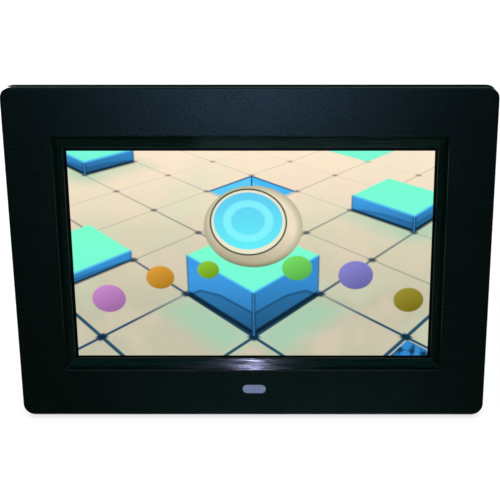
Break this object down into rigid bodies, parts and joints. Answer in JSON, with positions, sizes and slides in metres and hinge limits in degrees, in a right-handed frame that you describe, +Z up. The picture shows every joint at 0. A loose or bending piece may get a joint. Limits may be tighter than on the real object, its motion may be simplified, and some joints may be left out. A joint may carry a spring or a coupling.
{
  "type": "digital photo frame",
  "caption": "Tabletop digital photo frame: wide black border, bevelled recess, lit landscape screen, rear keys and sockets, fold-out leg",
  "frame": {"origin": "on the table under the middle of the standing frame's bounding box", "axes": "+X to the viewer's right, +Y away from the viewer, +Z up; the face leans back 15 degrees"},
  "size_m": [0.202, 0.0716, 0.1419],
  "materials": {
    "front_shell": "fine textured black",
    "rear_shell": "moulded black, satin",
    "receiver_window": "translucent smoky lilac",
    "circuit_green": "solder mask over glass fibre",
    "chip_black": "moulded epoxy",
    "tin_steel": "tinned sheet steel",
    "bezel_steel": "pressed sheet steel",
    "screen": "anti-glare film over the lit picture",
    "cell_glass": "dark laminated glass",
    "film_white": "milky film",
    "acrylic": "clear moulded acrylic",
    "frame_white": "moulded white",
    "flex_amber": "amber film",
    "aluminium_can": "drawn can",
    "ferrite": "ferrite, dull",
    "connector_white": "nylon",
    "socket_black": "moulded black",
    "pin_nickel": "nickel plated",
    "key_black": "moulded black key",
    "plunger_black": "moulded black",
    "screw_black": "black zinc",
    "screw_zinc": "bright zinc",
    "hinge_steel": "ground steel rod",
    "rubber_black": "soft black",
    "cone_paper": "coated paper",
    "magnet": "nickel plated magnet in a steel cup",
    "sheet_clear": "black insulating film",
    "wire_red": "plastic insulation"
  },
  "bodies": {
    "frame": {"backlight_frame": "frame_white", "backlight_led_bar": "frame_white", "board_connectors": "connector_white", "card_socket": "tin_steel", "case_screws": "screw_black", "crystal_can": "tin_steel", "display_back_plate": "bezel_steel", "display_clips": "tin_steel", "display_flex": "flex_amber", "display_glass": "cell_glass", "display_polariser": "screen", "display_steel_bezel": "bezel_steel", "filter_capacitors": "aluminium_can", "foot_pads": "rubber_black", "front_frame": "front_shell", "headphone_jack": "socket_black", "hinge_pin": "hinge_steel", "inner_screws": "screw_zinc", "insulation_sheet": "sheet_clear", "key_board": "circuit_green", "key_ribbon": "film_white", "key_switches": "tin_steel", "light_guide": "acrylic", "main_board": "circuit_green", "memory_chips": "chip_black", "mini_usb_shell": "tin_steel", "mini_usb_tongue": "socket_black", "optical_films": "film_white", "power_inductors": "ferrite", "power_jack": "socket_black", "power_jack_pin": "pin_nickel", "power_switch_housing": "tin_steel", "processor_chip": "chip_black", "rear_cover": "rear_shell", "receiver_board": "circuit_green", "receiver_leads": "wire_red", "receiver_module": "chip_black", "receiver_window": "receiver_window", "reflector_film": "film_white", "speaker_baskets": "bezel_steel", "speaker_cones": "cone_paper", "speaker_leads": "wire_red", "speaker_magnets": "magnet", "usb_host_shell": "tin_steel", "usb_host_tongue": "connector_white"},
    "leg": {"stand_leg": "rear_shell", "stand_foot": "rubber_black"},
    "power_knob": {"power_switch_knob": "key_black"},
    "menu_button": {"button_menu": "key_black", "plunger_menu": "plunger_black"},
    "back_button": {"button_back": "key_black", "plunger_back": "plunger_black"},
    "play_button": {"button_play": "key_black", "plunger_play": "plunger_black"},
    "next_button": {"button_next": "key_black", "plunger_next": "plunger_black"},
    "exit_button": {"button_exit": "key_black", "plunger_exit": "plunger_black"}
  },
  "joints": [
    {"name": "stand_hinge", "type": "hinge", "parent": "frame", "child": "leg", "pos_m": [0, 0.00819, 0.09047], "axis": [1, 0, 0], "range_deg": [-29.5, 0]},
    {"name": "menu_press", "type": "slide", "parent": "frame", "child": "menu_button", "axis": [0, -0.9659, 0.2588], "range_m": [0, 0.0005], "stiffness_N_per_m": 300, "springref_m": -0.0003},
    {"name": "back_press", "type": "slide", "parent": "frame", "child": "back_button", "axis": [0, -0.9659, 0.2588], "range_m": [0, 0.0005], "stiffness_N_per_m": 300, "springref_m": -0.0003},
    {"name": "play_press", "type": "slide", "parent": "frame", "child": "play_button", "axis": [0, -0.9659, 0.2588], "range_m": [0, 0.0005], "stiffness_N_per_m": 300, "springref_m": -0.0003},
    {"name": "next_press", "type": "slide", "parent": "frame", "child": "next_button", "axis": [0, -0.9659, 0.2588], "range_m": [0, 0.0005], "stiffness_N_per_m": 300, "springref_m": -0.0003},
    {"name": "exit_press", "type": "slide", "parent": "frame", "child": "exit_button", "axis": [0, -0.9659, 0.2588], "range_m": [0, 0.0005], "stiffness_N_per_m": 300, "springref_m": -0.0003},
    {"name": "power_slide", "type": "slide", "parent": "frame", "child": "power_knob", "axis": [0, 0.2588, 0.9659], "range_m": [0, 0.002]}
  ]
}
